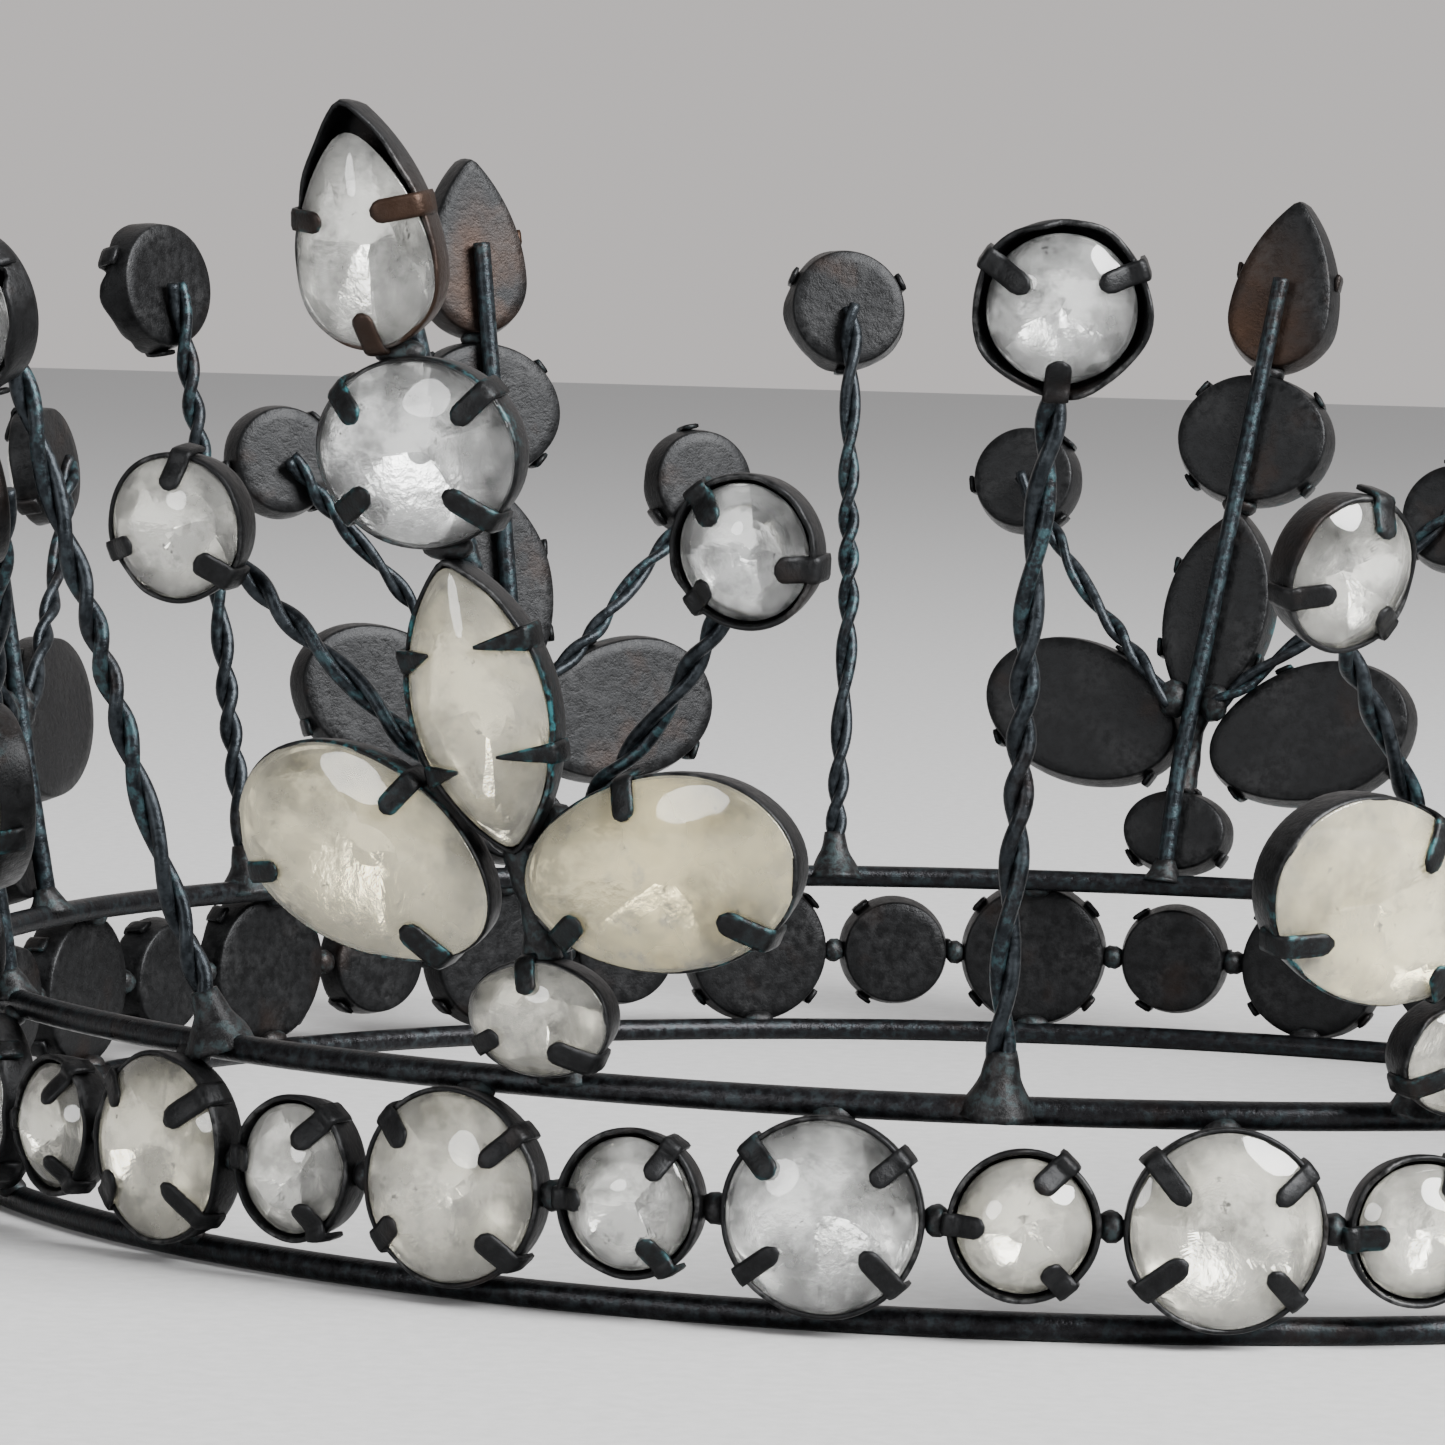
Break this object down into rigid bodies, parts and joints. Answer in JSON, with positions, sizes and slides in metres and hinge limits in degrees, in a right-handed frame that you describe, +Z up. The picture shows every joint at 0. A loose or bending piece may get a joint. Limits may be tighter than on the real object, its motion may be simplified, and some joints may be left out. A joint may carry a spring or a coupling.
{
  "type": "crown",
  "caption": "Antique wire-framed crown: a band of claw-set paste stones between two rails, with flower motifs and twisted-wire spikes standing around it.",
  "frame": {"origin": "on the crown's axis, on the surface that it stands on", "axes": "+Z up; the crown's front looks along -Y"},
  "size_m": [0.1516, 0.1588, 0.0618],
  "materials": {
    "blackened_brass": "stamped brass gone almost black, with brown patches and worn grey edges",
    "dark_wire": "two strands of drawn wire twisted together, blackened, with traces of verdigris",
    "grey_solder": "dull lumpy tin-lead solder, darkened",
    "paste_stone": "foil-backed glass paste, milky white to cream, with soft worn facets"
  },
  "bodies": {
    "root": {"lower_rail": "blackened_brass", "upper_rail": "blackened_brass", "band_large_settings": "blackened_brass", "band_small_settings": "blackened_brass", "band_large_stones": "paste_stone", "band_small_stones": "paste_stone", "band_solder": "grey_solder", "motif_1_settings": "blackened_brass", "motif_2_settings": "blackened_brass", "motif_3_settings": "blackened_brass", "motif_4_settings": "blackened_brass", "motif_5_settings": "blackened_brass", "motif_6_settings": "blackened_brass", "motif_7_settings": "blackened_brass", "motif_8_settings": "blackened_brass", "motif_9_settings": "blackened_brass", "motif_1_stones": "paste_stone", "motif_2_stones": "paste_stone", "motif_3_stones": "paste_stone", "motif_4_stones": "paste_stone", "motif_5_stones": "paste_stone", "motif_6_stones": "paste_stone", "motif_7_stones": "paste_stone", "motif_8_stones": "paste_stone", "motif_9_stones": "paste_stone", "motif_1_wires": "dark_wire", "motif_2_wires": "dark_wire", "motif_3_wires": "dark_wire", "motif_4_wires": "dark_wire", "motif_5_wires": "dark_wire", "motif_6_wires": "dark_wire", "motif_7_wires": "dark_wire", "motif_8_wires": "dark_wire", "motif_9_wires": "dark_wire", "motif_solder": "grey_solder", "spike_1_stem": "dark_wire", "spike_2_stem": "dark_wire", "spike_3_stem": "dark_wire", "spike_4_stem": "dark_wire", "spike_5_stem": "dark_wire", "spike_6_stem": "dark_wire", "spike_7_stem": "dark_wire", "spike_8_stem": "dark_wire", "spike_9_stem": "dark_wire", "spike_1_setting": "blackened_brass", "spike_2_setting": "blackened_brass", "spike_3_setting": "blackened_brass", "spike_4_setting": "blackened_brass", "spike_5_setting": "blackened_brass", "spike_6_setting": "blackened_brass", "spike_7_setting": "blackened_brass", "spike_8_setting": "blackened_brass", "spike_9_setting": "blackened_brass", "spike_stones": "paste_stone", "spike_solder": "grey_solder"}
  },
  "joints": []
}
